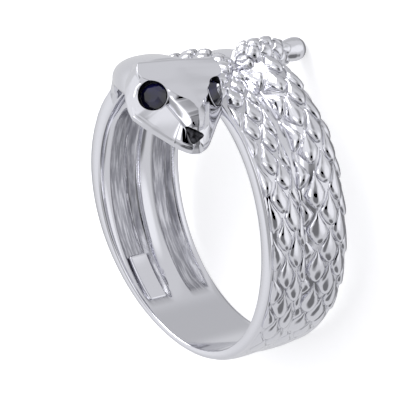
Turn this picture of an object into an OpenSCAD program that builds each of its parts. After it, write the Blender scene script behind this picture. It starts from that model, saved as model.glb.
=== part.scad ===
/* [Finger] */
// Inside diameter of the band, which sets the finger size
bore_d = 17.2; // [15:0.1:21]
// Width of the band at the crown
crown_w = 5.9; // [5.2:0.05:7]
// Width of the band at the sides of the finger
side_w = 6.1; // [5.4:0.05:7]
// Width of the band at the palm
palm_w = 5.4; // [5.2:0.05:6.5]
// Wall of the band at the crown
crown_wall = 0.8; // [0.6:0.05:1]
// Wall of the band at the sides of the finger
side_wall = 1; // [0.7:0.05:1.2]
// Wall of the band at the palm, where it is smooth
palm_wall = 0.4; // [0.35:0.05:0.6]
// Thickness of the rounded far edge
far_edge = 0.3; // [0.25:0.05:0.35]

/* [Hollow back] */
// Depth of the channels behind the coils
channel_depth = 0.6; // [0.3:0.05:0.7]
// Width of the channel behind the near coil
near_channel_w = 1.85; // [1.2:0.05:2]
// Width of the channel behind the far coil
far_channel_w = 1.45; // [1:0.05:1.6]
// Angle from the crown at which the channels run out towards the palm
channel_end = 158; // [140:1:165]
// Angle from the crown at which the near channel stops under the neck
neck_channel_end = 62; // [50:1:80]
// Angle from the crown within which the band is solid on the other side
crown_solid = 34; // [25:1:50]
// Length of the plain pad in the near channel
pad_l = 3.3; // [2.5:0.1:4]
// Width of the plain pad
pad_w = 1.3; // [0.9:0.05:1.4]
// Angle from the crown at which the pad is centred
pad_angle = 143; // [120:1:146]

/* [Coils] */
// Height of the coils over the finger where one crosses at the crown
crown_h = 1.2; // [1.1:0.05:1.6]
// Height of the coils over the finger at its sides
side_h = 1.6; // [1.4:0.05:1.9]
// Height over the finger of the coil that rises to the tail
tail_coil_h = 2.3; // [1.6:0.05:2.35]
// Height of the coils over the finger at the palm
palm_h = 0.72; // [0.6:0.02:0.9]
// Width of the coil on the near edge
near_coil_w = 2.3; // [2:0.05:2.5]
// Width of the coil on the far edge
far_coil_w = 3.5; // [3:0.05:3.8]
// Length of a scale along the coil
scale_l = 2.45; // [2:0.05:3]
// Rows of scales across the near coil, each half a scale on from the next
near_rows = 4; // [3:1:5]
// Rows of scales across the far coil
far_rows = 5; // [4:1:6]
// Height of a scale
scale_h = 0.34; // [0.1:0.02:0.4]

/* [Neck] */
// Angle from the crown at which the neck leaves the band
neck_start = 68; // [60:1:80]
// Width of the neck where it meets the head
neck_w = 4.6; // [3.5:0.1:5]
// Height of the neck over the finger where it leaves the band
neck_h = 1.55; // [1.4:0.05:1.9]
// Height of the neck over the finger where it meets the head
nape_h = 2.4; // [2.2:0.05:2.8]

/* [Head] */
// Length of the head
head_l = 6.2; // [5.4:0.1:7]
// Width of the head at the jaw
head_w = 6.3; // [5.4:0.1:6.8]
// Height of the head
head_h = 2.16; // [1.9:0.02:2.5]
// Distance from the near edge of the band to the middle of the head's back
head_out = 1.85; // [1.3:0.05:2.3]
// Gap between the finger and the underside of the head at its back
head_lift = 1.1; // [1:0.05:1.5]
// Angle by which the head bends down over the finger
head_dip = 24.8; // [20:0.2:26]
// Angle by which the head turns away from the band
head_turn = 10; // [4:0.5:14]

/* [Eyes] */
// Diameter of an eye stone
eye_d = 1.65; // [1.3:0.05:1.9]
// Height of an eye stone above its girdle
eye_crown = 0.42; // [0.25:0.01:0.55]
// Depth of an eye stone below its girdle
eye_pavilion = 0.6; // [0.45:0.01:0.75]
// Gap between a stone and its seat
eye_gap = 0.06; // [0.04:0.01:0.12]
// Angle by which the eyes look out to the sides
eye_splay = 47; // [38:1:56]
// Angle by which the eyes look forward
eye_forward = 15; // [5:1:25]

/* [Tail] */
// Diameter of the tail's smooth tip
tail_d = 1.5; // [1.2:0.05:1.7]
// Diameter of the tail's scaled root
tail_root_d = 2.2; // [1.9:0.05:2.4]
// How far the tail's tip stands out past the far edge of the band
tail_out = 2; // [1:0.05:2.4]
// Angle of the tail from the crown
tail_angle = 3.5; // [2:0.5:7]
// Height of the tail's tip over the finger
tail_h = 2.15; // [2:0.05:2.3]

/* [Hidden] */
silver = [0.84, 0.84, 0.88];
sapphire = [0.06, 0.06, 0.14];
bore_r = bore_d / 2;
// Depth to which the cast parts reach into the finger's room before it is cut
root = 0.35;
skin = 0.1;
// Distance over which the far edge slopes up to the wall
slope_w = 0.6;
// Depth to which a coil's edges sink into the band
sink = 0.12;
// Bare margins of the near and far coils
near_margin = 0.17;
far_margin = 0.28;
// Angles from the crown at which the body leaves the far edge and reaches the near edge
cross_from = -60;
cross_to = 34;
// Angle at which the tail's coil ends under the tail's root, and the angle over which it rounds off
tail_back = -4;
tail_round = 12;
// Angles from the crown between which the coils flatten towards the palm
flat_from = 92;
flat_to = 144;
// Steps across the band, and length of one step around it
across = 26;
step_l = scale_l / 4;
// Angles from the crown between which the scales wear away towards the palm, and the share that stays
worn_from = 98;
worn_to = 142;
worn_share = 0.1;
// Share of their height by which the scales are lower at a coil's edges
edge_low = 0.6;
// Place of the outer rows of scales across a coil, and the power that rounds a scale's outline
edge_row = 0.93;
leaf_round = 1.5;
// Angle on its way from which the body has the near coil's rows of scales
near_scales_from = 357;
// Angles from the crown between which the far coil widens from its share beside the tail
wide_from = 38;
wide_to = 70;
tail_coil_share = 0.76;
// The body's way where the neck leaves the band, and how far before and past it the scales end
neck_way = 720 - neck_start;
scales_short = 14;
scales_past = 4;
// How far past the neck's start the coil runs out
coil_past = 16;
// Least metal between a channel and the grooves between the scales
channel_cover = 0.3;
// Distance from the near edge at the finger's sides to the middle of the near channel
near_channel_in = 1.85;
head_side = side_w + head_out;
// Gap between the finger and the underside of the neck and head, beyond the band
neck_lift = 0.15;
// Angle past the crown at which the neck ends, inside the head
neck_end = 6;
// The head's half width at the jaw
jaw = head_w / 2;
// Angle from the crown to the middle of the head's back
head_angle = -1;
// Place of an eye as shares of the head's length, half width and height
eye_place = [0.43, 0.63, 0.62];
// Rounding of the tip's end
tip_round = 0.45;

// A value between two others
function mix(a, b, t) = a + (b - a) * t;

// A soft step from 0 to 1 between two angles
function step(from, to, v) = let (t = max(0, min(1, (v - from) / (to - from)))) t * t * (3 - 2 * t);

// A size around the finger that is known at the crown, the sides and the palm
function around(crown, side, palm, th) =
    let (mean = (crown + palm) / 4 + side / 2)
    mean + (crown - palm) / 2 * cos(th) + (mean - side) * cos(2 * th);

// A point from its angle to the crown, its height over the finger and its distance from the far edge
function at(th, h, z) = [-(bore_r + h) * sin(th), -(bore_r + h) * cos(th), z];

function band_w(th) = around(crown_w, side_w, palm_w, th);
function wall(th) = around(crown_wall, side_wall, palm_wall, th);
function coil_h(th) =
    mix(mix(crown_h, side_h, step(15, 65, abs(th))), palm_h, step(flat_from, flat_to, abs(th)));

// Middle of the near and far coils, from the far edge
function near_z(th) = band_w(th) - near_margin - near_coil_w / 2;
far_z = far_margin + far_coil_w / 2;

// Half width of a scale, in rows, from its pointed root (0) to its round end (1)
function leaf_side(x) = pow(1 - pow(x, leaf_round), 1 / leaf_round);
function leaf_w(s) = s < 0.5 ? 1 - leaf_side(2 * s) : leaf_side(2 * s - 1);

// Height share of one scale at a place along it and in rows across it
function leaf_at(s, t) =
    let (w = leaf_w(s))
    abs(t) >= w ? 0 : mix(0.4, 1, sin(180 * pow(s, 1.6))) * (1 - pow(t / w, 4)) * min(1, 6 * s);

// Height share of the scales at a place across the coil, from -1 to 1, and a length along it
function scale_at(u, run, rows) =
    let (q = (max(-edge_row, min(edge_row, u)) + edge_row) / 2 / edge_row * (rows - 1))
    max([for (row = [floor(q):floor(q) + 1])
        let (p = run / scale_l + (row % 2) / 2)
        leaf_at(p - floor(p), q - row)]);

// Height share of a coil's rounded back at a place across it, from a half ellipse to a fuller back
function back_at(u, full) = sqrt(max(0, 1 - pow(abs(u), 2 + full)));

// A closed solid through rings of points, or a hoop where the last ring meets the first
module loft(rings, hoop = false) {
    n = len(rings[0]);
    count = len(rings);
    sides = [for (k = [0:count - (hoop ? 1 : 2)], i = [0:n - 1])
        let (a = k * n + i, b = k * n + (i + 1) % n, c = (k + 1) % count * n + (i + 1) % n,
             d = (k + 1) % count * n + i)
        each [[a, c, b], [a, d, c]]];
    ends = hoop ? [] : [[for (i = [0:n - 1]) i], [for (i = [n - 1:-1:0]) (count - 1) * n + i]];
    polyhedron([for (ring = rings) each ring], concat(sides, ends));
}

// The body winds as one coil. Its angle runs on from the tail's root at the crown, round the far edge,
// across the crown at one turn, round the near edge, and to the head at two turns
function angle_at(way) = way - 360 * floor((way + 180) / 360);
function run_at(way) = way * PI / 180 * (bore_r + side_h);

// Share by which the body has crossed to the near edge
function near_at(way) = step(360 + cross_from, 360 + cross_to, way);

// Share of its full size that the body has where it rounds off under the tail
function round_at(way) =
    let (end = max(0, 1 - (way - tail_back) / tail_round))
    sqrt(max(0.02, 1 - end * end));

// Share of their full height that the scales keep at an angle, and at a place on the body's way
function worn(th) = mix(1, worn_share, step(worn_from, worn_to, abs(th)));
function cover(way) =
    worn(angle_at(way)) * round_at(way) * (1 - step(neck_way - scales_short, neck_way + scales_past, way));

function half_at(way) =
    let (far = far_coil_w * mix(tail_coil_share, 1, step(wide_from, wide_to, way)) * mix(round_at(way), 1, 0.3))
    mix(far, near_coil_w, near_at(way)) / 2;

function middle_at(way) =
    way < 180 ? far_margin + half_at(way) / mix(round_at(way), 1, 0.3)
    : mix(far_z, near_z(angle_at(way)), near_at(way));

function height_at(way) =
    let (th = angle_at(way), h = way < 180 ? mix(coil_h(th), tail_coil_h, step(100, 35, th)) : coil_h(th))
    mix(wall(th), h, round_at(way) * (1 - step(neck_way, neck_way + coil_past, way)));

// Height over the finger of the body at a place along its way and across the band
function body_over(way, z) =
    let (near = near_at(way), th = angle_at(way), u = (z - middle_at(way)) / half_at(way),
         low = mix(min(wall(th), far_edge + 0.15), wall(th), near) - sink, relief = scale_h * cover(way))
    way < tail_back || way > neck_way + coil_past || abs(u) >= 1 ? 0
    : low + (height_at(way) - relief - low) * back_at(u, near)
        + relief * (1 - edge_low * pow(u, 4))
            * scale_at(u, run_at(way), way < near_scales_from ? far_rows : near_rows);

// Height over the finger of the whole band with the two turns of the body on it
function over(th, z) =
    max(mix(min(far_edge, wall(th) - 0.05), wall(th), min(1, z / slope_w)),
        body_over(th, z), body_over(th + 360, z), body_over(th + 720, z));

// Depth of a channel behind the body, which starts at one angle from the crown and runs out at another
function channel_at(th, start) =
    mix(-skin,
        min(channel_depth, coil_h(th) - scale_h * worn(th) - channel_cover),
        min(step(start, start + 12, abs(th)), 1 - step(channel_end - 12, channel_end, abs(th))));

// Points of a section through one channel, from its near side to its far side
function channel_points(th, deep, z, w) =
    [at(th, -skin, z + w / 2 + 0.06), at(th, deep, z + w * 0.4), at(th, deep, z - w * 0.4),
     at(th, -skin, z - w / 2 - 0.06)];

near_channel_z = side_w - near_channel_in;
far_channel_z = 1.25;

module band() {
    count = ceil(2 * PI * (bore_r + side_h) / step_l);
    loft([for (k = [0:count - 1])
        let (th = 360 * k / count - 180, w = band_w(th))
        concat([for (j = [0:across]) at(th, over(th, w * j / across), w * j / across)],
               [at(th, -skin, w)],
               channel_points(th, channel_at(th, th < 0 ? neck_channel_end : crown_solid),
                              near_channel_z, near_channel_w),
               channel_points(th, channel_at(th, crown_solid), far_channel_z, far_channel_w),
               [at(th, -skin, 0)])], hoop = true);
}

// The body leaves the near edge as a smooth neck, over the finger and into the head
function neck_at(th) = max(0, min(1, (th + neck_start) / (neck_start + head_angle)));

function neck_z(th) =
    let (t = neck_at(th), slope = tan(head_turn) * (bore_r + head_lift) * PI / 180 * neck_start)
    mix(near_z(-neck_start), head_side, t * t * (3 - 2 * t)) + slope * (t * t * t - t * t)
    + tan(head_turn) * max(0, th - head_angle) * PI / 180 * (bore_r + head_lift);

module neck() {
    steps = 10;
    loft([for (th = [-neck_start - 12:3:neck_end])
        let (t = neck_at(th), w = mix(near_coil_w, neck_w, step(0.1, 1, t)),
             lean = atan((neck_z(th + 1) - neck_z(th - 1)) / 2 * 180 / PI / (bore_r + neck_h)),
             h = mix(mix(coil_h(th) - scale_h, neck_h, step(-neck_start - 12, -neck_start + 20, th)), nape_h,
                     pow(max(0, min(1, (th + 30) / 30)), 2)))
        [for (p = concat([[-1, -root]],
                         [for (k = [0:steps])
                             let (u = 2 * k / steps - 1)
                             [u, mix(0.3, h, back_at(u, 0.6))]],
                         [[1, -root]]))
            at(th - p[0] * w / 2 * sin(lean) / bore_r * 180 / PI, p[1], neck_z(th) + p[0] * w / 2 * cos(lean))]]);
}

// The tail lies across the end of its coil, with a scaled root and a smooth tip past the far edge
module tail() {
    tip = tail_d / 2;
    base = tail_root_d / 2;
    back = far_margin + tail_coil_share * far_coil_w + 0.1;
    // Each section: height over the far edge, radius, share of scales
    sections = [
        [-tail_out, tip - tip_round, 0],
        [-tail_out + tip_round * 0.3, tip - tip_round * 0.3, 0],
        [-tail_out + tip_round, tip, 0],
        [-0.35, tip, 0],
        [-0.1, tip + 0.08, 0],
        [0.15, mix(tip, base, 0.7), 0.5],
        [0.5, mix(tip, base, 0.85), 1],
        [0.9, mix(tip, base, 0.95), 0],
        [1.3, base, 1],
        [1.7, base, 0],
        [back - base * 0.7, base * 0.95, 1],
        [back - base * 0.4, base * 0.8, 0.5],
        [back - base * 0.12, base * 0.5, 0],
        [back, base * 0.15, 0],
    ];
    axis_h = tail_h - tip;
    loft([for (s = sections)
        let (mid = at(tail_angle, axis_h, s[0]))
        [for (k = [0:15])
            let (r = s[1] + scale_h / 2 * s[2] * (k % 2))
            mid + r * [cos(22.5 * k), sin(22.5 * k), 0]]]);
}

// Axes of the head: along it, to its left and out from the finger
head_fore = [-cos(head_dip), sin(head_dip), 0];
head_x = cos(head_turn) * head_fore + [0, 0, sin(head_turn)];
head_y = sin(head_turn) * head_fore - [0, 0, cos(head_turn)];
head_z = [-sin(head_dip), -cos(head_dip), 0];
head_o = at(head_angle, head_lift, head_side);

// A point of the head from shares of its length, half width and height
function in_head(x, y, z) = head_o + x * head_l * head_x + y * jaw * head_y + z * head_h * head_z;

// Sections of the head, as shares of its length, half width and height
// [along, jaw, lip, cheek out, cheek up, plate out, plate up, ridge up]
head_sections = [
    [-0.12, 0.56, 0.12, 0.5, 0.24, 0.3, 0.36, 0.4],
    [0, 0.74, 0.2, 0.7, 0.4, 0.45, 0.54, 0.6],
    [0.06, 0.83, 0.24, 0.79, 0.56, 0.6, 0.8, 0.92],
    [0.1, 0.89, 0.26, 0.85, 0.64, 0.76, 0.97, 1],
    [0.29, 0.97, 0.26, 0.87, 0.62, 0.67, 0.98, 1],
    [0.43, 1, 0.26, 0.75, 0.62, 0.48, 0.97, 1],
    [0.53, 0.88, 0.26, 0.46, 0.78, 0.33, 0.95, 1],
    [0.62, 0.76, 0.26, 0.32, 0.76, 0.14, 0.96, 1],
    [0.72, 0.62, 0.26, 0.21, 0.73, 0.05, 0.97, 0.99],
    [0.86, 0.4, 0.25, 0.12, 0.68, 0.05, 0.72, 0.76],
    [0.94, 0.27, 0.22, 0.09, 0.5, 0.04, 0.54, 0.56],
    [1, 0.13, 0.12, 0.05, 0.22, 0.02, 0.24, 0.25],
];

module head() {
    loft([for (s = head_sections)
        let (half = [[s[1], 0], [s[1], s[2]], [s[3], s[4]], [s[5], s[6]]])
        [for (p = concat([for (p = half) p], [[0, s[7]]], [for (i = [3:-1:0]) [-half[i][0], half[i][1]]]))
            in_head(s[0], p[0], p[1])]]);
}

// Puts what stands on the head's surface at an eye, with side 1 for the left one
module at_eye(side) {
    p = in_head(eye_place[0], side * eye_place[1], eye_place[2]);
    multmatrix([for (i = [0:2]) [head_x[i], head_y[i], head_z[i], p[i]]])
        rotate([-side * eye_splay, 0, 0]) rotate([0, eye_forward, 0]) children();
}

module eye_seat(side) {
    at_eye(side) translate([0, 0, -eye_pavilion - eye_gap])
        cylinder(r = eye_d / 2 + eye_gap, h = eye_pavilion + eye_crown + 1, $fn = 48);
}

// A round cut stone with an octagonal table, its girdle at the origin
module stone() {
    r = eye_d / 2;
    girdle = 0.06;
    rim = [for (k = [0:15]) [r * cos(22.5 * k), r * sin(22.5 * k)]];
    points = concat(
        [for (k = [0:7]) [0.56 * r * cos(45 * k), 0.56 * r * sin(45 * k), eye_crown]],
        [for (p = rim) [p[0], p[1], girdle / 2]],
        [for (p = rim) [p[0], p[1], -girdle / 2]],
        [[0, 0, -eye_pavilion]]);
    polyhedron(points, concat(
        [[for (k = [7:-1:0]) k]],
        [for (k = [0:7]) each [
            [k, 8 + 2 * k, 8 + (2 * k + 15) % 16],
            [k, 8 + 2 * k + 1, 8 + 2 * k],
            [k, (k + 1) % 8, 8 + 2 * k + 1]]],
        [for (k = [0:15]) each [
            [8 + k, 8 + (k + 1) % 16, 24 + (k + 1) % 16],
            [8 + k, 24 + (k + 1) % 16, 24 + k],
            [24 + k, 24 + (k + 1) % 16, 40]]]));
}

// The plain pad that stands in the near channel
module pad() {
    half = pad_l / 2 / bore_r * 180 / PI;
    loft([for (k = [0:4])
        let (th = -pad_angle - half + k * half / 2, h = coil_h(th) - 0.25)
        [at(th, -root, near_channel_z - pad_w / 2), at(th, h, near_channel_z - pad_w / 2),
         at(th, h, near_channel_z + pad_w / 2), at(th, -root, near_channel_z + pad_w / 2)]]);
}

// The finger's room past the near edge, which the neck and head stay clear of
module finger_room() {
    translate([0, 0, side_w + 0.2]) cylinder(r = bore_r + neck_lift, h = head_side + head_w, $fn = 96);
}

module cast_form() {
    difference() {
        union() {
            band();
            neck();
            tail();
            head();
        }
        finger_room();
    }
    pad();
}

// The ring lies on its far edge at the palm and on the tip of its tail, so it leans back by a few degrees
tip_r = bore_r + tail_h - tail_d + tip_round;
reach = bore_r + far_edge + tip_r;
drop = tip_round - tail_out;
rest_lean = asin(tip_round / norm([reach, drop])) - atan2(drop, reach);

module laid() {
    rotate([0, 0, -tail_angle]) rotate([-rest_lean, 0, 0]) rotate([0, 0, tail_angle]) children();
}

module snake_body() {
    color(silver) laid() difference() {
        resize([0, 0, 0]) cast_form();
        translate([0, 0, -tail_out - 1]) cylinder(r = bore_r, h = head_side + head_w, $fn = 180);
        eye_seat(1);
        eye_seat(-1);
    }
}

module right_eye_stone() {
    color(sapphire) laid() at_eye(-1) stone();
}

module left_eye_stone() {
    color(sapphire) laid() at_eye(1) stone();
}

snake_body();
right_eye_stone();
left_eye_stone();
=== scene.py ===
import math

import bmesh
import bpy
import numpy as np
from mathutils import Matrix, Vector


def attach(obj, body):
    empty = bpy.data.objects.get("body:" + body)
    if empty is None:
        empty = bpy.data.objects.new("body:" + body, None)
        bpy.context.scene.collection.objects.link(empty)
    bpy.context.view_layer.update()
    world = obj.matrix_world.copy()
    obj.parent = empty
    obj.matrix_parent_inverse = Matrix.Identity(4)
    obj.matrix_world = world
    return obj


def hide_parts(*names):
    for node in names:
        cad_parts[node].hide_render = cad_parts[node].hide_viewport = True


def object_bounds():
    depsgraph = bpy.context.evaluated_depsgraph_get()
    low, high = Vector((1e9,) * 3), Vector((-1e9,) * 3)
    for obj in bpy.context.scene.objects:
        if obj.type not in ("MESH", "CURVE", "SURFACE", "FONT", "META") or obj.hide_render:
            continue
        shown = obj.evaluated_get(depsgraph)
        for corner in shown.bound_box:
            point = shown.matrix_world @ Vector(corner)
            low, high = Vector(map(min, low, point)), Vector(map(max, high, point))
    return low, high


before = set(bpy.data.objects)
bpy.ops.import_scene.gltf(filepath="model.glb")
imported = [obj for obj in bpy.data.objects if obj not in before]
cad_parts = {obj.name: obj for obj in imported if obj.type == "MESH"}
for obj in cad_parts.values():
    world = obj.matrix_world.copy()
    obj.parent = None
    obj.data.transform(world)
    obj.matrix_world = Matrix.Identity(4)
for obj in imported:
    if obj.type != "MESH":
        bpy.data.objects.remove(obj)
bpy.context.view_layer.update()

# The camera stands in front of the head, low and to the left of the finger's axis, as a jeweller
# holds a ring up to look at it. The ring lies on the far edge of its band at the palm and on the tip
# of its tail, so its bore leans back a few degrees.
bore_r = 8.6
far_edge = 0.3
tail_out = 2.0
tail_angle = 3.5
tail_d = 1.5
tail_h = 2.15
tip_round = 0.45

tip_r = bore_r + tail_h - tail_d + tip_round
reach = bore_r + far_edge + tip_r
drop = tip_round - tail_out
rest_lean = math.asin(tip_round / math.hypot(reach, drop)) - math.atan2(drop, reach)
turn = Matrix.Rotation(math.radians(tail_angle), 3, "Z")
lay_down = turn.inverted() @ Matrix.Rotation(-rest_lean, 3, "X") @ turn


def laid(points):
    """Points of the ring in millimetres, with +Z along its bore, as they lie on the table in metres."""
    return np.asarray(points) @ np.array(lay_down).T * 0.001


# Directions are given as along -X, to the crown (-Y) and up the bore (+Z)
side_on, height, roll = math.radians(52.9), math.radians(25.6), math.radians(4.27)
back = Vector((math.cos(height) * math.sin(side_on), math.sin(height),
               math.cos(height) * math.cos(side_on)))
level = Vector((0, 1, 0)).cross(back).normalized()
right = level * math.cos(roll) + back.cross(level) * math.sin(roll)
up = back.cross(right)
shift_right, shift_up, distance = -1.28, 0.37, 247
place = shift_right * right + shift_up * up + distance * back
half_width = 2.87
focal_px, picture_px = 4007, 400


def from_ring(v):
    """A direction or place of the camera, in the ring's own axes."""
    return Vector((-v.x, -v.y, v.z))


lens = bpy.data.cameras.new("camera")
lens.sensor_width = 36
lens.lens = lens.sensor_width * focal_px / picture_px
lens.clip_start = 0.01
lens.clip_end = 10
camera = bpy.data.objects.new("camera", lens)
bpy.context.scene.collection.objects.link(camera)
camera_axes = [lay_down @ from_ring(v) for v in (right, up, back)]
camera_at = Vector(laid(from_ring(place) + Vector((0, 0, half_width))))
camera.matrix_world = Matrix.Translation(camera_at) @ Matrix(camera_axes).transposed().to_4x4()
bpy.context.scene.camera = camera


# The band is one casting with the snake's body: two turns of a scaled coil that run side by side, a
# broad one on the far edge and a narrower one on the near edge. Its inside is smooth at the edges and
# along the middle, with a rough channel behind each coil that saves weight.
def plug(node, inputs):
    """Sets a node's inputs to values, or links them to other nodes' outputs."""
    for key, value in inputs.items():
        if isinstance(value, Socket):
            node.id_data.links.new(value.output, node.inputs[key])
        else:
            node.inputs[key].default_value = value


class Socket:
    """A shader node's output, with Python's operators for Math nodes."""

    def __init__(self, tree, output):
        self.tree = tree
        self.output = output

    def node(self, kind, settings=None, inputs=None, out=0):
        """A new node's output, with its settings and its inputs."""
        made = self.tree.nodes.new(kind)
        for key, value in (settings or {}).items():
            setattr(made, key, value)
        plug(made, inputs or {})
        return Socket(self.tree, made.outputs[out])

    def maths(self, operation, a, b=0.0):
        return self.node("ShaderNodeMath", {"operation": operation}, {0: a, 1: b})

    def __add__(self, other):
        return self.maths("ADD", self, other)

    def __radd__(self, other):
        return self.maths("ADD", other, self)

    def __sub__(self, other):
        return self.maths("SUBTRACT", self, other)

    def __rsub__(self, other):
        return self.maths("SUBTRACT", other, self)

    def __mul__(self, other):
        return self.maths("MULTIPLY", self, other)

    def __rmul__(self, other):
        return self.maths("MULTIPLY", other, self)

    def blend(self, low, high):
        """A colour from low to high, by this value."""
        return self.node("ShaderNodeMix", {"data_type": "RGBA"}, {"Factor": self, 6: low, 7: high}, out=2)

    def noise(self, where, scale, detail):
        return self.node("ShaderNodeTexNoise", {}, {"Vector": where, "Scale": scale, "Detail": detail},
                         out="Fac")

    def soft_step(self, low, high):
        """A smooth rise from 0 to 1 while this value goes from low to high."""
        return self.node("ShaderNodeMapRange", {"interpolation_type": "SMOOTHSTEP"},
                         {"Value": self, "From Min": low, "From Max": high})


def new_material(name):
    """A material with its principled shader, and a socket to start nodes from."""
    material = bpy.data.materials.new(name)
    material.use_nodes = True
    shader = material.node_tree.nodes["Principled BSDF"]
    return material, shader, Socket(material.node_tree, None)


silver_colour = (0.86, 0.86, 0.9, 1)
groove_shade_colour = (0.13, 0.13, 0.15, 1)
cast_colour = (0.42, 0.42, 0.46, 1)
bump_height = 0.00006

# Polished sterling, with painted shade that darkens the grooves between the scales, and rough where it's
# as cast
silver, shader, start = new_material("cast_silver")
place_on = start.node("ShaderNodeTexCoord", out="Object")
cast, groove, way_round, over_band = (
    start.node("ShaderNodeAttribute", {"attribute_name": name}, out="Fac")
    for name in ("as_cast", "groove", "way_round", "over_band"))
grain = start.noise(place_on, 5200, 4)
smear = start.noise(place_on, 420, 3)
dents = start.noise(place_on, 1300, 2)
drawn_out = start.node("ShaderNodeCombineXYZ", {}, {"X": way_round * 0.35, "Y": over_band * 3.5})
streaks = start.noise(drawn_out, 2, 5)
rough_cast = cast * (streaks.soft_step(0.35, 0.6) * 0.8 + 0.2)
colour = rough_cast.blend(silver_colour, cast_colour)
relief = (grain * (cast * 0.9 + groove * 0.3) + smear * 0.12 + dents * (groove * 2.0 + 0.1)
          + streaks * cast)
plug(shader, {
    # painted shade: the silver is mixed towards dark grey in the grooves, broken up by the smear noise
    "Base Color": (groove * smear.soft_step(0.1, 0.5)).blend(colour, groove_shade_colour),
    "Roughness": smear * 0.05 + (0.06 + cast * 0.3 + groove * 0.2),
    "Normal": start.node("ShaderNodeBump", {}, {
        "Height": relief, "Strength": 0.35, "Distance": bump_height}, out="Normal"),
    "Metallic": 1})


def mix(a, b, share):
    """From a to b, by a share."""
    return a + (b - a) * share


def step(low, high, value):
    """A smooth rise from 0 to 1 while a value goes from low to high."""
    share = np.clip((np.asarray(value, float) - low) / (high - low), 0, 1)
    return share * share * (3 - 2 * share)


crown_w, side_w, palm_w = 5.9, 6.1, 5.4
crown_wall, side_wall, palm_wall = 0.8, 1.0, 0.4
slope_w = 0.6
near_margin, far_margin = 0.17, 0.28
sink, far_lift, rim = 0.12, 0.15, 0.05
crown_h, side_h, tail_coil_h, palm_h = 1.2, 1.6, 2.3, 0.72
near_coil_w, far_coil_w = 2.3, 3.5
cross_from, cross_to = -60, 34
tail_back, tail_round, tail_round_w, least_round = -4, 12, 0.3, 0.02
raised_from, raised_to = 15, 65
flat_from, flat_to = 92, 144
worn_from, worn_to, worn_share = 98, 142, 0.05
tail_coil_share, wide_from, wide_to = 0.76, 38, 70
tail_coil_from, tail_coil_to = 100, 35
neck_start = 68
neck_way = 720 - neck_start
scales_short, scales_past, coil_past = 14, 4, 16
scale_l, scale_h = 2.45, 0.34
edge_row, edge_low = 0.93, 0.6


def around(crown, side, palm, th):
    """A size around the finger, from its values at the crown, the sides and the palm."""
    mean = (crown + palm) / 4 + side / 2
    th = np.radians(th)
    return mean + (crown - palm) / 2 * np.cos(th) + (mean - side) * np.cos(2 * th)


def at(th, h, z):
    """Points from their angle to the crown, height over the finger and distance from the far edge."""
    th, h, z = np.broadcast_arrays(np.radians(th), h, z)
    return np.stack([-(bore_r + h) * np.sin(th), -(bore_r + h) * np.cos(th), z], -1)


def band_w(th):
    """The band's width at an angle to the crown."""
    return around(crown_w, side_w, palm_w, th)


def wall(th):
    """The thickness of the band's edge."""
    return around(crown_wall, side_wall, palm_wall, th)


def coil_h(th):
    """The coils' height over the finger, tips of the scales included."""
    th = np.abs(th)
    return mix(mix(crown_h, side_h, step(raised_from, raised_to, th)), palm_h,
               step(flat_from, flat_to, th))


def angle_at(way):
    """The angle to the crown, from the degrees gone along the snake since its tail."""
    return way - 360 * np.floor((way + 180) / 360)


def near_at(way):
    """How far the snake has crossed from the far edge (0) to the near one (1)."""
    return step(360 + cross_from, 360 + cross_to, way)


def round_at(way):
    """The rounding of the coil's end under the tail."""
    end = np.maximum(0, 1 - (way - tail_back) / tail_round)
    return np.sqrt(np.maximum(least_round, 1 - end * end))


def worn(th):
    """Share of their full height that the scales keep, which wears away towards the palm."""
    return mix(1, worn_share, step(worn_from, worn_to, np.abs(th)))


def cover(way):
    """Share of their full height that the scales have along the snake."""
    fade = step(neck_way - scales_short, neck_way + scales_past, way)
    return worn(angle_at(way)) * round_at(way) * (1 - fade)


def end_w(way):
    """Share of its width that the coil has at its rounded end."""
    return mix(round_at(way), 1, tail_round_w)


def half_at(way):
    """Half the coil's width."""
    far = far_coil_w * mix(tail_coil_share, 1, step(wide_from, wide_to, way)) * end_w(way)
    return mix(far, near_coil_w, near_at(way)) / 2


def middle_at(way):
    """The coil's distance from the far edge, to its middle."""
    near_z = band_w(angle_at(way)) - near_margin - near_coil_w / 2
    first = far_margin + half_at(way) / end_w(way)
    return np.where(way < 180, first, mix(far_margin + far_coil_w / 2, near_z, near_at(way)))


def height_at(way):
    """The coil's height over the finger along its middle."""
    th = angle_at(way)
    first = mix(coil_h(th), tail_coil_h, step(tail_coil_from, tail_coil_to, th))
    ends = round_at(way) * (1 - step(neck_way, neck_way + coil_past, way))
    return mix(wall(th), np.where(way < 180, first, coil_h(th)), ends)


def coil_over(way, u):
    """Height over the finger of the coil under its scales, across it from -1 to 1."""
    near, th = near_at(way), angle_at(way)
    low = mix(np.minimum(wall(th), far_edge + far_lift), wall(th), near) - sink
    back_share = np.sqrt(np.maximum(0, 1 - np.abs(u) ** (2 + near)))
    return low + (height_at(way) - scale_h * cover(way) - low) * back_share


def coil_point(way, u):
    """A point of the coil's surface under its scales."""
    return at(angle_at(way), coil_over(way, u), middle_at(way) + u * half_at(way))


around_steps, across_steps = 480, 84
th = np.linspace(-180, 180, around_steps, endpoint=False)[:, None]
across = np.linspace(0, 1, across_steps + 1)[None, :]
z = band_w(th) * across
edge = np.minimum(far_edge, wall(th) - rim)
over = mix(edge, wall(th), np.minimum(1, z / slope_w))
covered = np.zeros_like(over)
for turns in (0, 360, 720):
    way = th + turns
    u = (z - middle_at(way)) / half_at(way)
    inside = (way >= tail_back) & (way <= neck_way + coil_past) & (np.abs(u) < 1)
    coil = np.where(inside, coil_over(way, np.clip(u, -1, 1)), 0)
    covered = np.where(inside & (coil > over), cover(way) * step(1, 0.8, np.abs(u)), covered)
    over = np.maximum(over, coil)

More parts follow.
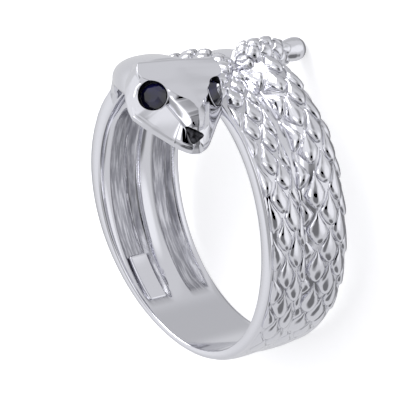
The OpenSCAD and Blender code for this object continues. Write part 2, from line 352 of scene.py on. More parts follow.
# The inside, from the near edge to the far one: each channel as shares of its width and depth
channel_shape = [(0.56, 0, 0), (0.47, 0.25, 1), (0.42, 0.75, 1), (0.33, 1, 1), (0.1, 0.92, 1),
                 (-0.1, 0.95, 1), (-0.33, 1, 1), (-0.42, 0.75, 1), (-0.47, 0.25, 1), (-0.56, 0, 0)]
channel_depth, channel_cover, channel_run = 0.6, 0.3, 12
channel_end, neck_channel_end, crown_solid = 158, 62, 34
near_channel_in, near_channel_w, far_channel_z, far_channel_w = 1.85, 1.85, 1.25, 1.45


def channel(th, first, z, w):
    """A channel's outline as (depth, distance from the far edge, roughness), first being its start."""
    start = np.where(th < 0, first, crown_solid)
    run = np.minimum(step(0, channel_run, np.abs(th) - start),
                     1 - step(channel_end - channel_run, channel_end, np.abs(th)))
    depth = run * np.minimum(channel_depth, coil_h(th) - scale_h * worn(th) - channel_cover)
    return [(depth * d, z + w * a + 0 * th, c * step(0, 0.4, run)) for a, d, c in channel_shape]


w = band_w(th)
inner = [(wall(th) - rim, w, 0 * th), (rim + 0 * th, w, 0 * th), (0 * th, w - rim, 0 * th)]
inner += channel(th, neck_channel_end, side_w - near_channel_in, near_channel_w)
inner += channel(th, crown_solid, far_channel_z, far_channel_w)
inner += [(0 * th, rim + 0 * th, 0 * th), (rim + 0 * th, 0 * th, 0 * th), (edge - rim, 0 * th, 0 * th)]
outline_h = np.hstack([over] + [h for h, _, _ in inner])
outline_z = np.hstack([np.clip(z, rim, w - rim)] + [q for _, q, _ in inner])
as_cast = np.hstack([0 * over] + [c for _, _, c in inner])
# in_groove marks the band between the scales: rougher, dented, and darkened there with painted shade
in_groove = np.hstack([0.1 * covered] + [0 * th] * len(inner))
way_round = th * math.pi / 180 * bore_r + 0 * outline_h


def mesh_from(name, points, faces, **values):
    """A smooth mesh piece of silver, laid on the table, with values at its points."""
    mesh = bpy.data.meshes.new(name)
    mesh.from_pydata(laid(points).tolist(), [], faces)
    made = bmesh.new()
    made.from_mesh(mesh)
    bmesh.ops.recalc_face_normals(made, faces=made.faces[:])
    made.to_mesh(mesh)
    made.free()
    for key, value in values.items():
        kept = mesh.attributes.new(key, "FLOAT", "POINT")
        kept.data.foreach_set("value", np.ravel(value).astype(np.float32))
    mesh.polygons.foreach_set("use_smooth", [True] * len(mesh.polygons))
    mesh.materials.append(silver)
    piece = bpy.data.objects.new(name, mesh)
    bpy.context.scene.collection.objects.link(piece)
    return piece


def grid_faces(rows, columns, hoop=False, ring=True):
    """Faces between rows of points. A hoop's last row is joined to its first, and a ring's column."""
    k, i = np.meshgrid(np.arange(rows if hoop else rows - 1), np.arange(columns if ring else columns - 1),
                       indexing="ij")
    k, i = k.ravel(), i.ravel()
    k2, i2 = (k + 1) % rows, (i + 1) % columns
    return np.stack([k * columns + i, k2 * columns + i, k2 * columns + i2, k * columns + i2], -1).tolist()


def tube_faces(rows, columns):
    """Faces of a closed tube through rings of points."""
    last = (rows - 1) * columns
    return grid_faces(rows, columns) + [list(range(columns)),
                                        list(range(last + columns - 1, last - 1, -1))]


def finish_piece(piece):
    """Lets a silver piece stand for its part of the casting, which stays out of sight."""
    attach(piece, "root")
    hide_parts("snake_body")


points = at(th, outline_h, outline_z).reshape(-1, 3)
band = mesh_from("band_and_coils", points, grid_faces(around_steps, outline_h.shape[1], hoop=True),
                 as_cast=as_cast, groove=in_groove, way_round=way_round, over_band=outline_z)

# A plain pad stands on the near channel's floor where the channel ends, cast with the band
pad_way, pad_z, pad_l, pad_w, pad_top, pad_foot, pad_round = -143, 4.25, 3.2, 1.3, 0.05, 0.5, 0.12
pad_end = np.array([0, 0.03, 0.07, pad_round])
along = np.concatenate([pad_end, np.linspace(0.2, pad_l - 0.2, 15), pad_l - pad_end[::-1]])
along = along[:, None] - pad_l / 2
from_end = np.maximum(0, pad_round - (pad_l / 2 - np.abs(along)))
inset = pad_round - np.sqrt(np.maximum(0, pad_round ** 2 - from_end ** 2))
corner = np.radians([0, 25, 50, 70, 90])
corner_z = pad_w / 2 - pad_round + pad_round * np.cos(corner)
corner_h = pad_top + pad_round - pad_round * np.sin(corner)
pad_out = np.concatenate([[pad_w / 2], corner_z, -corner_z[::-1], [-pad_w / 2]])
pad_h = np.concatenate([[pad_foot], corner_h, corner_h[::-1], [pad_foot]])
pad_h = np.where(pad_h < pad_foot, pad_h + inset, pad_h)
points = at(pad_way + np.degrees(along / bore_r), pad_h, pad_z + pad_out * (1 - 2 * inset / pad_w))
pad = mesh_from("pad", points.reshape(-1, 3), tube_faces(*points.shape[:2]))
finish_piece(band)
finish_piece(pad)

# The scales are carved as leaves that rise towards their rounded lower ends, in staggered rows along
# each coil, and are cast in one with it. The same leaf, smaller, covers the root of the tail.
leaf_s = np.array([0, 0.1, 0.25, 0.42, 0.6, 0.76, 0.88, 0.96, 1])[:, None]
rise = np.array([0, 0.3, 0.52, 0.73, 0.91, 1, 0.92, 0.64, 0])[:, None]
leaf_t = np.array([-1, -0.8, -0.42, 0, 0.42, 0.8, 1])[None, :]
dome = np.array([0, 0.6, 0.92, 1, 0.92, 0.6, 0])[None, :]
leaf_steps, leaf_across = leaf_s.size, leaf_t.size
leaf_gap, leaf_round, leaf_least, leaf_root = 0.09, 1.5, 0.02, 0.2


def bulge(x):
    """Half width of a scale's rounded lower end, from its middle (0) to its tip (1)."""
    return (1 - np.clip(x, 0, 1) ** leaf_round) ** (1 / leaf_round)


def rim_of(grid):
    """What lies along the rim of a grid, once round."""
    return np.concatenate([grid[0, :], grid[1:-1, -1], grid[-1, ::-1], grid[-2:0:-1, 0]])


leaf_width = np.where(leaf_s < 0.5, 1 - bulge(2 * leaf_s), bulge(2 * leaf_s - 1))
leaf_width = leaf_width * (1 - leaf_gap) + leaf_least
top = np.stack([(leaf_s - 0.5) * (1 - leaf_gap / 2) + 0 * leaf_t, leaf_width * leaf_t, rise * dome], -1)
base = rim_of(top) * [1, 1, 0] + [0, 0, -leaf_root]
leaf_points = np.concatenate([top.reshape(-1, 3), base])
rim_index = rim_of(np.arange(leaf_steps * leaf_across).reshape(leaf_steps, leaf_across))
leaf_faces = grid_faces(leaf_steps, leaf_across, ring=False)
count = len(rim_index)
skirt = leaf_steps * leaf_across
leaf_faces += [[int(rim_index[i]), int(rim_index[(i + 1) % count]), skirt + (i + 1) % count, skirt + i]
               for i in range(count)]
leaf_faces += [[skirt + i for i in range(count)]]
leaf_mesh = bpy.data.meshes.new("leaf")
leaf_mesh.from_pydata(leaf_points.tolist(), [], leaf_faces)
leaf_mesh.polygons.foreach_set("use_smooth", [True] * len(leaf_mesh.polygons))
leaf = bpy.data.objects.new("leaf", leaf_mesh)
bpy.context.scene.collection.objects.link(leaf)


def scale_rows(length, rows):
    """Flat staggered rows of leaves as points and faces, one unit long and wide each."""
    tree = bpy.data.node_groups.new("rows of scales", "GeometryNodeTree")
    for name, kind in (("Geometry", "Geometry"), ("Leaf", "Object"), ("Length", "Int"), ("Rows", "Int"),
                       ("Stagger", "Float")):
        tree.interface.new_socket(name, in_out="INPUT", socket_type="NodeSocket" + kind)
    tree.interface.new_socket("Geometry", in_out="OUTPUT", socket_type="NodeSocketGeometry")
    node, link = tree.nodes.new, tree.links.new
    given, result = node("NodeGroupInput"), node("NodeGroupOutput")

    def maths(operation, a, b):
        made = node("ShaderNodeMath")
        made.operation = operation
        for socket, value in zip(made.inputs, (a, b)):
            if isinstance(value, (int, float)):
                socket.default_value = value
            else:
                link(value, socket)
        return made.outputs[0]

    grid = node("GeometryNodeMeshGrid")
    link(given.outputs["Length"], grid.inputs["Vertices X"])
    link(given.outputs["Rows"], grid.inputs["Vertices Y"])
    link(maths("SUBTRACT", given.outputs["Length"], 1), grid.inputs["Size X"])
    link(maths("SUBTRACT", given.outputs["Rows"], 1), grid.inputs["Size Y"])
    where = node("ShaderNodeSeparateXYZ")
    link(node("GeometryNodeInputPosition").outputs[0], where.inputs[0])
    half_rows = maths("MULTIPLY", maths("SUBTRACT", given.outputs["Rows"], 1), 0.5)
    row = maths("ADD", where.outputs["Y"], half_rows)
    odd = maths("MODULO", maths("ROUND", row, 0), 2)
    shift = node("ShaderNodeCombineXYZ")
    link(maths("MULTIPLY", odd, given.outputs["Stagger"]), shift.inputs["X"])
    move = node("GeometryNodeSetPosition")
    link(grid.outputs["Mesh"], move.inputs["Geometry"])
    link(shift.outputs[0], move.inputs["Offset"])
    shape = node("GeometryNodeObjectInfo")
    link(given.outputs["Leaf"], shape.inputs["Object"])
    spread = node("GeometryNodeInstanceOnPoints")
    nudge = node("GeometryNodeSetPosition")
    link(move.outputs[0], nudge.inputs["Geometry"])
    link(nudge.outputs[0], spread.inputs["Points"])
    link(shape.outputs["Geometry"], spread.inputs["Instance"])

    def uneven(low, high, seed, socket):
        """Links a socket to a random value between two."""
        made = node("FunctionNodeRandomValue")
        made.data_type = "FLOAT_VECTOR"
        made.inputs["Min"].default_value, made.inputs["Max"].default_value = low, high
        made.inputs["Seed"].default_value = seed
        link(made.outputs["Value"], socket)

    uneven((-0.05, -0.07, 0), (0.05, 0.07, 0), 5, nudge.inputs["Offset"])
    uneven((0, 0, -0.09), (0, 0, 0.09), 3, spread.inputs["Rotation"])
    uneven((0.9, 0.88, 0.8), (1.05, 1.05, 1.15), 8, spread.inputs["Scale"])
    real = node("GeometryNodeRealizeInstances")
    link(spread.outputs[0], real.inputs[0])
    paint = node("GeometryNodeSetMaterial")
    paint.inputs["Material"].default_value = silver
    link(real.outputs[0], paint.inputs["Geometry"])
    link(paint.outputs[0], result.inputs[0])

    holder = bpy.data.objects.new("rows", bpy.data.meshes.new("rows"))
    bpy.context.scene.collection.objects.link(holder)
    modifier = holder.modifiers.new("rows", "NODES")
    modifier.node_group = tree
    sockets = {item.name: item.identifier for item in tree.interface.items_tree if item.in_out == "INPUT"}
    for name, value in (("Leaf", leaf), ("Length", length), ("Rows", rows), ("Stagger", 0.5)):
        modifier[sockets[name]] = value
    made = bpy.data.meshes.new_from_object(holder.evaluated_get(bpy.context.evaluated_depsgraph_get()))
    bpy.data.objects.remove(holder)
    flat = np.empty(len(made.vertices) * 3)
    made.vertices.foreach_get("co", flat)
    flat = flat.reshape(-1, 3) + [(length - 1) / 2, (rows - 1) / 2, 0]
    return flat, [list(p.vertices) for p in made.polygons]


def wrap(surface, along, over_it, height):
    """Points set off from a surface along its own normal."""
    small = 1e-3
    here = surface(along, over_it)
    normal = np.cross(surface(along, over_it + small) - here, surface(along + 50 * small, over_it) - here)
    normal /= np.linalg.norm(normal, axis=1)[:, None]
    return here + normal * height[:, None]


def coil_scales(name, start, length, rows):
    """The scales of one coil, from an angle on its way, for a number of scales."""
    flat, faces = scale_rows(length, rows)
    way = start + flat[:, 0] * math.degrees(scale_l / (bore_r + side_h))
    row_gap = 2 * edge_row / (rows - 1)
    u = flat[:, 1] * row_gap - edge_row
    over_edge = np.maximum(np.abs(u) - edge_row, 0) / row_gap
    u = np.sign(u) * (np.minimum(np.abs(u), edge_row) + over_edge * (coil_edge - edge_row))
    relief = scale_h * np.maximum(cover(way), least_cover) * (1 - edge_low * u ** 4)
    height = np.where(flat[:, 2] > 0, flat[:, 2] * relief, flat[:, 2] * leaf_root)
    points = wrap(coil_point, way, u, height)
    # groove marks the leaves' roots and edges, which the silver darkens with painted shade
    return mesh_from(name, points, faces, as_cast=0 * way, groove=0.2 * (flat[:, 2] < 0.05))


coil_edge, least_cover = 0.99, 0.02
far_scales_from, far_scale_count, far_rows = 12.3, 25, 5
near_scales_from, near_scale_count, near_rows = 350.9, 22, 4
far_scales = coil_scales("far_scales", far_scales_from, far_scale_count, far_rows)
near_scales = coil_scales("near_scales", near_scales_from, near_scale_count, near_rows)
for piece in (far_scales, near_scales):
    finish_piece(piece)

# The coil's last stretch is worn smooth and rises off the band's near edge as the snake's neck. It's
# cast with the band, widens over the finger's side, and runs into the back of the head.
neck_w, neck_h, nape_h, nape_way = 4.6, 1.55, 2.4, 30
neck_from, neck_end, neck_steps, neck_across = 10, 6, 72, 41
rises_from, rises_to, neck_arch, neck_side_h = -neck_start - 12, -neck_start + 20, 2.6, 0.3
neck_lift, buried, bared, bared_from, bared_to = 0.15, 0.7, 0.03, -76, -62
head_turn, head_lift, head_side, head_angle = math.radians(10), 1.1, 7.95, -1


def neck_share(th):
    """How far the neck has come, from the coil (0) to the head (1)."""
    return np.clip((th + neck_start) / (neck_start + head_angle), 0, 1)


def neck_z(th):
    """The distance of the neck's middle from the far edge."""
    t = neck_share(th)
    slope = math.tan(head_turn) * (bore_r + head_lift) * math.radians(neck_start)
    near_z = band_w(-neck_start) - near_margin - near_coil_w / 2
    past = math.tan(head_turn) * np.maximum(0, np.radians(th - head_angle)) * (bore_r + head_lift)
    return mix(near_z, head_side, t * t * (3 - 2 * t)) + slope * (t ** 3 - t * t) + past


th = np.linspace(-neck_start - neck_from, neck_end, neck_steps)[:, None]
w = mix(near_coil_w, neck_w, step(0.1, 1, neck_share(th)))
lean = np.arctan(np.degrees(neck_z(th + 1) - neck_z(th - 1)) / 2 / (bore_r + neck_h))
h = mix(coil_h(th) - scale_h, neck_h, step(rises_from, rises_to, th))
h = mix(h, nape_h, np.clip((th + nape_way) / nape_way, 0, 1) ** 2)
u = np.linspace(-1, 1, neck_across)[None, :]
arch = mix(neck_side_h, h, np.sqrt(1 - np.abs(u) ** neck_arch))
out = np.hstack([-1 + 0 * th, u + 0 * th, 1 + 0 * th, 0.5 + 0 * th, 0 * th, -0.5 + 0 * th])
z = neck_z(th) + out * w / 2 * np.cos(lean)
under = mix(mix(buried, bared, step(bared_from, bared_to, th)), neck_lift,
            step(-0.25, 0.1, z - band_w(th)))
h = np.hstack([under[:, :1], np.maximum(arch, under[:, 1:-4]), under[:, -4:]])
points = at(th - np.degrees(out * w / 2 * np.sin(lean) / bore_r), h, z)
neck = mesh_from("neck", points.reshape(-1, 3), tube_faces(*out.shape), as_cast=0 * h, groove=0 * h)
finish_piece(neck)

# The head is cast with the neck, filed and polished: a flat crown plate with a sharp edge that ends in
# a point above the snout, a brow that runs down to the nose as a ridge, a mouth cut under the nose and
# a lip that goes round the jaw under a shallow groove.
head_dip = math.radians(24.8)
fore = np.array([-math.cos(head_dip), math.sin(head_dip), 0])
head_x = math.cos(head_turn) * fore + [0, 0, math.sin(head_turn)]
head_y = [0, 0, math.cos(head_turn)] - math.sin(head_turn) * fore
head_z = np.array([-math.sin(head_dip), -math.cos(head_dip), 0])
head_o = at(head_angle, head_lift, head_side)


def in_head(p):
    """Points from their place along the head, to its near side and up from its underside."""
    p = np.asarray(p)
    return head_o + p[..., 0:1] * head_x + p[..., 1:2] * head_y + p[..., 2:3] * head_z


# The lines that the head is filed to: how far the edge along each is rounded, and its places from
# back to front as (along, out, up)
head_lines = {
    "jaw foot": (0.1, [
        (-0.74, 1.72, 0.1), (0, 2.25, 0.1), (0.4, 2.55, 0.1), (1.2, 2.88, 0.08), (1.9, 3.04, 0.06),
        (2.7, 3.12, 0.05), (3.3, 2.95, 0.04), (3.9, 2.52, 0.03), (4.4, 2.12, 0.03), (4.85, 1.76, 0.03),
        (5.35, 1.35, 0.03), (5.85, 0.93, 0.03), (6.1, 0.6, 0.03), (6.22, 0.35, 0.03)]),
    "jaw": (0.2, [
        (-0.74, 1.76, 0.3), (0, 2.33, 0.32), (0.4, 2.64, 0.32), (1.2, 2.98, 0.32), (1.9, 3.14, 0.3),
        (2.7, 3.22, 0.3), (3.3, 3.05, 0.3), (3.9, 2.62, 0.3), (4.4, 2.22, 0.3), (4.85, 1.86, 0.3),
        (5.35, 1.45, 0.3), (5.85, 1.03, 0.3), (6.15, 0.68, 0.32), (6.3, 0.38, 0.34)]),
    "lip": (0.12, [
        (-0.74, 1.73, 0.4), (0, 2.3, 0.55), (0.4, 2.6, 0.6), (1.2, 2.94, 0.65), (1.9, 3.08, 0.6),
        (2.7, 3.12, 0.5), (3.3, 2.92, 0.47), (3.9, 2.49, 0.46), (4.4, 2.1, 0.46), (4.85, 1.74, 0.46),
        (5.35, 1.33, 0.46), (5.85, 0.92, 0.46), (6.1, 0.6, 0.48), (6.22, 0.36, 0.5)]),
    "groove over the lip": (0.05, [
        (-0.74, 1.7, 0.48), (0, 2.28, 0.7), (0.4, 2.58, 0.8), (1.2, 2.92, 0.85), (1.9, 3.05, 0.8),
        (2.7, 3.02, 0.62), (3.3, 2.84, 0.5), (3.9, 2.38, 0.46), (4.4, 2.0, 0.46), (4.85, 1.65, 0.46),
        (5.35, 1.27, 0.47), (5.85, 0.82, 0.5), (6.04, 0.55, 0.52), (6.17, 0.34, 0.55)]),
    "cheek's foot": (0.06, [
        (-0.74, 1.66, 0.52), (0, 2.24, 0.85), (0.4, 2.54, 1.0), (1.2, 2.9, 1.05), (1.9, 3.0, 1.0),
        (2.7, 2.96, 0.78), (3.3, 2.76, 0.6), (3.9, 2.3, 0.56), (4.4, 1.93, 0.55), (4.85, 1.58, 0.55),
        (5.35, 1.22, 0.56), (5.8, 0.86, 0.64), (5.98, 0.56, 0.65), (6.1, 0.33, 0.66)]),
    "cheek's top": (0.06, [
        (-0.74, 1.5, 0.6), (0, 2.1, 1.0), (0.4, 2.44, 1.35), (1.2, 2.84, 1.42), (1.9, 2.86, 1.36),
        (2.3, 2.6, 1.2), (2.7, 2.1, 1.3), (3.2, 1.56, 1.42), (3.7, 1.34, 1.41), (4.2, 1.18, 1.38),
        (4.7, 1.01, 1.34), (5.1, 0.88, 1.28), (5.34, 0.62, 1.14), (5.48, 0.3, 1.1)]),
    "nose groove": (0.06, [
        (-0.74, 1.45, 0.62), (0, 2.02, 1.03), (0.4, 2.38, 1.48), (1.2, 2.8, 1.58), (1.9, 2.78, 1.5),
        (2.3, 2.42, 1.4), (2.7, 1.88, 1.42), (3.2, 1.32, 1.33), (3.7, 1.1, 1.3), (4.2, 0.92, 1.27),
        (4.7, 0.74, 1.24), (5.1, 0.6, 1.2), (5.32, 0.42, 1.16), (5.42, 0.13, 1.14)]),
    "stripe's foot": (0.1, [
        (-0.74, 1.4, 0.64), (0, 1.95, 1.07), (0.4, 2.34, 1.58), (1.2, 2.76, 1.72), (1.9, 2.66, 1.64),
        (2.3, 2.22, 1.6), (2.7, 1.72, 1.6), (3.2, 1.32, 1.56), (3.7, 1.08, 1.53), (4.2, 0.87, 1.49),
        (4.7, 0.66, 1.45), (5.1, 0.5, 1.4), (5.3, 0.36, 1.34), (5.4, 0.11, 1.3)]),
    "stripe's top": (0.08, [
        (-0.74, 1.3, 0.68), (0, 1.8, 1.12), (0.4, 2.24, 1.7), (0.66, 2.58, 1.94), (1.2, 2.82, 1.88),
        (1.7, 2.76, 1.84), (2.1, 2.24, 1.88), (2.5, 1.7, 1.84), (2.95, 1.4, 1.8), (3.3, 1.18, 1.82),
        (3.9, 0.88, 1.82), (4.4, 0.66, 1.8), (4.85, 0.46, 1.7), (5.1, 0.37, 1.57), (5.28, 0.27, 1.45),
        (5.38, 0.08, 1.38)]),
    "crown plate's edge": (0.03, [
        (-0.74, 1.2, 0.72), (0, 1.62, 1.16), (0.4, 2.14, 1.9), (0.6, 2.5, 2.12), (1.0, 2.72, 2.1),
        (1.4, 2.8, 2.06), (1.75, 2.62, 2.04), (2.05, 2.2, 2.06), (2.4, 1.7, 2.09), (2.75, 1.36, 2.1),
        (3.1, 1.15, 2.1), (3.41, 0.97, 2.1), (3.57, 0.7, 2.1), (3.76, 0.45, 2.1), (3.99, 0.33, 2.1),
        (4.25, 0.17, 2.1), (4.48, 0.03, 2.1), (5.07, 0.03, 1.72), (5.3, 0.03, 1.53), (5.4, 0.02, 1.42)]),
    "ridge": (0.5, [
        (-0.74, 0, 0.86), (0, 0, 1.3), (0.4, 0, 2.02), (0.6, 0, 2.2), (1.2, 0, 2.17), (2.7, 0, 2.17),
        (4.0, 0, 2.14), (4.5, 0, 2.11), (5.07, 0, 1.74), (5.3, 0, 1.55), (5.4, 0, 1.44)])}
shares = np.concatenate([np.linspace(0, 0.9, 130, endpoint=False), np.linspace(0.9, 1, 36)])
soften, middle_round = 4, 0.3


def filed(line):
    """A filed line as close points, with its kinks softened."""
    x, y, z = np.array(line).T
    along = x[0] + shares * (x[-1] - x[0])
    kernel = np.hanning(2 * soften + 1)[1:-1]
    sides = [np.convolve(np.pad(np.interp(along, x, v), soften - 1, "reflect", reflect_type="odd"),
                         kernel / kernel.sum(), "valid") for v in (y, z)]
    return np.stack([along] + sides, -1)


def rounded(corners, radii):
    """A loop of corners, for each station, with every corner turned into a short curve."""
    before, after = np.roll(corners, 1, axis=1) - corners, np.roll(corners, -1, axis=1) - corners
    starts, ends = (side * np.minimum(0.45, np.array(radii)[:, None] / np.maximum(
        np.linalg.norm(side, axis=-1, keepdims=True), 1e-6)) for side in (before, after))
    curve = [starts * (1 - t) ** 2 + ends * t * t for t in np.linspace(0, 1, 5)]
    return (corners[:, :, None] + np.stack(curve, 2)).reshape(len(corners), -1, 3)


near_side = np.stack([filed(line) for _, line in head_lines.values()], 1)
far_side = near_side[:, -2::-1] * [1, -1, 1]
underside = near_side[:, :1] * [1, 0, 1]
corners = np.concatenate([underside, near_side, far_side], 1)
radii = [r for r, _ in head_lines.values()]
radii = [middle_round] + radii + radii[-2::-1]
# The near side is fuller at the cheek, and the plate's point is turned to the far side
fuller_to, plate_from, plate_rise = 1.3, 1.9, 0.2
fuller = np.interp(corners[..., 0], [0, 2.7, 3.3, 4.3, 5.5, 6.3], [0, 0.14, 0.28, 0.3, 0.2, 0.12])
corners[..., 1] += fuller * np.clip(fuller_to - corners[..., 2] / fuller_to, 0, 1)
point_turn = np.interp(corners[..., 0], [3, 3.5, 4.1, 4.5], [0, 0.18, 0.2, 0.04])
corners[..., 1] -= point_turn * np.clip((corners[..., 2] - plate_from) / plate_rise, 0, 1)
loops = rounded(corners, radii)
nose_end = loops[-1:]
nose_middle = nose_end.mean(axis=1, keepdims=True)
loops = np.concatenate([loops] + [mix(nose_end, nose_middle, share) for share in (0.3, 0.6)])
head = mesh_from("head", in_head(loops.reshape(-1, 3)), tube_faces(*loops.shape[:2]))


def apply_modifiers(piece):
    """Keeps what the modifiers make of a piece as its mesh."""
    made = bpy.data.meshes.new_from_object(piece.evaluated_get(bpy.context.evaluated_depsgraph_get()))
    piece.modifiers.clear()
    piece.data = made


# Painted shade: a dark, rough silver colours the walls of the mouth and of the eyes' seats
cavity_shade_material, shader, start = new_material("painted_shade_silver")
fine = start.noise(start.node("ShaderNodeTexCoord", out="Object"), 3500, 3)
cavity_shade, paler_cavity_shade = (0.01, 0.01, 0.012, 1), (0.16, 0.16, 0.18, 1)
# painted shade: near black, with paler patches by a fine noise
plug(shader, {"Base Color": fine.soft_step(0.3, 0.7).blend(cavity_shade, paler_cavity_shade),
              "Roughness": fine * 0.2 + 0.35, "Metallic": 1})

eye_d, eye_gap, eye_pavilion = 1.65, 0.06, 0.6
eye_splay, eye_forward = math.radians(47), math.radians(15)
head_l, half_head_w, head_h = 6.2, 3.15, 2.16
eye_along, eye_out, eye_up = 0.43 * head_l, 0.63 * half_head_w, 0.62 * head_h
seat_reach = 1.2
mouth_corners, mouth_depth = [(4.98, 0.9, 1.33), (5.68, -0.5, 1.08), (6.1, 0.5, 0.62)], 0.3


def eye_frame(side):
    """The middle of an eye and its axes, side 1 being the near one."""
    tilt = Matrix.Rotation(side * -eye_splay, 3, "X") @ Matrix.Rotation(eye_forward, 3, "Y")
    axes = np.stack([head_x, head_y, head_z], -1) @ np.array(tilt)
    return in_head([eye_along, side * eye_out, eye_up]), axes


def cut_out(piece, points, faces):
    """Cuts a closed form out of a piece, and gives its walls the dark painted shade."""
    form = mesh_from("cutter", points, faces)
    form.data.materials.clear()
    form.data.materials.append(cavity_shade_material)
    cut = piece.modifiers.new("cut", "BOOLEAN")
    cut.operation = "DIFFERENCE"
    cut.solver = "EXACT"
    cut.material_mode = "TRANSFER"
    cut.object = form
    apply_modifiers(piece)
    bpy.data.objects.remove(form)


def bowl(corners, depth, steps=32):
    """Points and faces of a hollow whose rounded edge goes through its corners, as deep as it's high."""
    corners = np.array(corners)
    turns = np.linspace(0, len(corners), steps, endpoint=False)
    closed = np.vstack([corners, corners[:1]])
    edge = np.stack([np.interp(turns, range(len(closed)), v) for v in closed.T], -1)
    edge = sum(np.roll(edge, shift, axis=0) for shift in range(-2, 3)) / 5
    middle = edge.mean(axis=0)
    up = np.cross(corners[1] - corners[0], corners[2] - corners[0])
    up = depth * up / np.linalg.norm(up)
    b = np.linspace(-math.pi / 2, math.pi / 2, steps // 2 + 1)[1:-1, None, None]
    points = (middle + np.cos(b) * (edge - middle) + np.sin(b) * up).reshape(-1, 3)
    rows = steps // 2 - 1
    foot, last = rows * steps, (rows - 1) * steps
    faces = [f[::-1] for f in grid_faces(rows, steps)]
    faces += [[foot, (i + 1) % steps, i] for i in range(steps)]
    faces += [[foot + 1, last + i, last + (i + 1) % steps] for i in range(steps)]
    return np.vstack([points, [middle - up, middle + up]]), faces


def drum(middle, axes, r, low, high, steps=48):
    """Points and faces of a closed cylinder along the third of its axes."""
    a = np.linspace(0, 2 * math.pi, steps, endpoint=False)
    rings = [np.stack([r * np.cos(a), r * np.sin(a), 0 * a + q], -1) for q in (low, high)]
    faces = [f[::-1] for f in tube_faces(2, steps)]
    return middle + np.vstack(rings) @ np.asarray(axes).T, faces


for side in (1, -1):
    middle, axes = eye_frame(side)
    cut_out(head, *drum(middle, axes, eye_d / 2 + eye_gap, -eye_pavilion - eye_gap, seat_reach))
points, faces = bowl(mouth_corners, mouth_depth)
cut_out(head, in_head(points), faces)


def sharpen(piece, angle):
    """Marks edges sharper than an angle in degrees, and shades the rest smooth."""
    made = bmesh.new()
    made.from_mesh(piece.data)
    for e in made.edges:
        e.smooth = not (len(e.link_faces) == 2 and e.calc_face_angle(0) > math.radians(angle))
    for f in made.faces:
        f.smooth = True
    made.to_mesh(piece.data)
    made.free()


sharp_from = 32
sharpen(head, sharp_from)
finish_piece(head)

# The tail is cast across the start of the coil: a short scaled root and a smooth round tip that
# stands out past the band's far edge.
tail_root_d, root_w = 2.2, 0.93
tail_tip, tail_base = tail_d / 2, tail_root_d / 2
tail_end = far_margin + tail_coil_share * far_coil_w + 0.1
tail_scale_l, tail_scale_h, tail_scale_root = 0.86, 0.22, 0.3
tail_scales_from, tail_scale_count, tail_rows, tail_round_steps = 2.72, 4, 8, 48
# The tail's half width, from its tip to its root, as (distance to the far edge, half width)
tail_line = np.array([
    (-tail_out, 0.02), (-1.98, 0.28), (-1.93, 0.43), (-1.84, 0.56), (-1.7, 0.67), (-1.52, 0.73),
    (-1.3, tail_tip), (-1.05, 0.73), (-0.8, 0.68), (-0.55, 0.62), (-0.3, 0.6), (-0.1, 0.66),
    (0.15, 0.86), (0.5, 0.98), (1.1, tail_base * root_w), (1.9, tail_base * root_w),
    (tail_end - tail_base * 0.6, tail_base * 0.85), (tail_end - tail_base * 0.3, tail_base * 0.66),
    (tail_end - tail_base * 0.1, tail_base * 0.4), (tail_end, 0.02)])


def tail_point(along, over_it):
    """A point of the tail from its distance to the far edge and a share of the way round it."""
    along, over_it = np.broadcast_arrays(along, over_it)
    r = np.interp(along, tail_line[:, 0], tail_line[:, 1])
    a = 2 * math.pi * over_it
    return at(tail_angle, tail_h - tail_tip, 0) + np.stack([r * np.cos(a), r * np.sin(a), along], -1)


along = np.sort(np.concatenate([tail_line[:, 0], np.linspace(-tail_out + 0.5, tail_end - 0.2, 40)]))
along = along[:, None]
points = tail_point(along, np.linspace(0, 1, tail_round_steps, endpoint=False)[None, :])
faces = [f[::-1] for f in tube_faces(len(along), tail_round_steps)]
# groove marks the tail's scaled root, which the silver darkens with painted shade
tail = mesh_from("tail", points.reshape(-1, 3), faces, as_cast=np.zeros(points.shape[:2]),
                 groove=step(0, 0.4, along) * np.ones(tail_round_steps) * 0.1)
finish_piece(tail)
flat, faces = scale_rows(tail_scale_count, tail_rows)
along = tail_scales_from - flat[:, 0] * tail_scale_l
height = flat[:, 2] * np.where(flat[:, 2] > 0, tail_scale_h, tail_scale_root)
points = wrap(tail_point, along, -flat[:, 1] / tail_rows, height)
tail_scales = mesh_from("tail_scales", points, faces, as_cast=0 * along, groove=0 * along)
finish_piece(tail_scales)
bpy.data.objects.remove(leaf)

# The eyes are round cut stones, a blue so deep that it reads as black, each set in a seat drilled in
# the brow. A thin bright edge is burnished over each girdle.
stone_blue, shader, start = new_material("sapphire")
flash_patches = start.noise(start.node("ShaderNodeTexCoord", out="Object"), 900, 1)
near_black, deep_blue = (0.001, 0.001, 0.006, 1), (0.006, 0.005, 0.05, 1)
# The stone's own colour is a near-black blue; the noise patches of brighter blue in it are painted
# reflection, standing for blue flashes off its facets
plug(shader, {"Base Color": flash_patches.soft_step(0.35, 0.7).blend(near_black, deep_blue),
              "Roughness": flash_patches * 0.02 + 0.02, "IOR": 1.77})
for name in ("right_eye_stone", "left_eye_stone"):
    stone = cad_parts[name]
    stone.data.materials.clear()
    stone.data.materials.append(stone_blue)
bezel_round, bezel_out, bezel_steps, wire_steps = 0.03, 0.02, 56, 12
for side, name in ((1, "right_bezel"), (-1, "left_bezel")):
    middle, axes = eye_frame(side)
    a = np.linspace(0, 2 * math.pi, bezel_steps, endpoint=False)[:, None]
    b = np.linspace(0, 2 * math.pi, wire_steps, endpoint=False)[None, :]
    r = eye_d / 2 + eye_gap + bezel_out + bezel_round * np.cos(b)
    points = np.stack([r * np.cos(a), r * np.sin(a), bezel_round * np.sin(b) + 0 * a], -1).reshape(-1, 3)
    faces = grid_faces(bezel_steps, wire_steps, hoop=True)
    finish_piece(mesh_from(name, middle + points @ axes.T, faces))

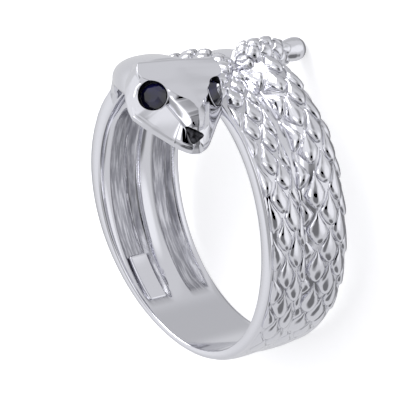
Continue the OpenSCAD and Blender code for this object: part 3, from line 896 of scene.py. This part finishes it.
# A white table that the ring lies on, in a white tent with dark gaps and bright panels, which polished
# silver shows as its dark and bright reflections. A soft light stands to the left of the camera.
low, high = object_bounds()
floor_size = 3
floor_mesh = bpy.data.meshes.new("table")
floor_corners = ((-1, -1), (1, -1), (1, 1), (-1, 1))
floor_mesh.from_pydata([(x * floor_size, y * floor_size, low[2]) for x, y in floor_corners], [],
                       [[0, 1, 2, 3]])
floor = bpy.data.objects.new("table", floor_mesh)
bpy.context.scene.collection.objects.link(floor)
white, shader, start = new_material("white_table")
plug(shader, {"Base Color": (0.93, 0.93, 0.94, 1), "Roughness": 0.6,
              "Emission Color": (1, 1, 1, 1), "Emission Strength": 0.5})
floor_mesh.materials.append(white)
floor.visible_glossy = False

world = bpy.data.worlds.new("tent")
bpy.context.scene.world = world
bpy.context.scene.view_settings.view_transform = "Standard"
world.use_nodes = True
sky = Socket(world.node_tree, None)
direction = sky.node("ShaderNodeTexCoord", out="Generated")


def seen_from(x, y, z):
    """A direction as the camera sees it: to its right, up and back to the camera."""
    return camera_axes[0] * x + camera_axes[1] * y + camera_axes[2] * z


# The gaps and panels, each by its direction as seen_from takes it, the cosines of its distance from
# there where it starts and where it's full, and its change of the tent's brightness
panels = [
    ((-0.95, 0.15, 0.0), (0.55, 0.95), 0.2),
    ((-0.68, 0.06, 0.73), (0.96, 0.985), 0.9),
    ((-0.9, -0.22, 0.3), (0.93, 0.98), -0.4),
    ((-0.4, 0.62, 0.67), (0.88, 0.97), 0.22),
    ((0.08, 0.76, 0.64), (0.93, 0.99), -0.3),
    ((0.1, 0.2, 0.97), (0.93, 0.985), -0.38),
    ((0.1, -0.3, 0.95), (0.84, 0.96), -0.5),
    ((0.45, -0.88, 0.15), (0.86, 0.96), -0.5),
    ((0.6, 0.15, -0.78), (0.78, 0.95), -0.45),
    ((0.2, 0.85, -0.47), (0.85, 0.97), -0.15),
    ((0.85, 0.1, 0.5), (0.8, 0.96), 0.3)]
brightness = 0.68
for toward, (starts, full), change in panels:
    nearness = sky.node("ShaderNodeVectorMath", {"operation": "DOT_PRODUCT"},
                        {0: direction, 1: tuple(seen_from(*toward).normalized())}, out="Value")
    brightness = nearness.soft_step(starts, full) * change + brightness
tint = brightness.blend((0.0, 0.0, 0.003, 1), (0.97, 0.975, 1, 1))
tint.output.node.clamp_factor = False
plug(world.node_tree.nodes["Background"], {"Color": tint, "Strength": 1.0})

key_toward, key_distance = seen_from(-0.9, 1.2, 0.1), 0.5
light = bpy.data.lights.new("key", "AREA")
light.size = 0.35
light.energy = 1.5
key = bpy.data.objects.new("key", light)
bpy.context.scene.collection.objects.link(key)
key.location = key_toward.normalized() * key_distance
key.rotation_euler = key_toward.to_track_quat("Z", "Y").to_euler()
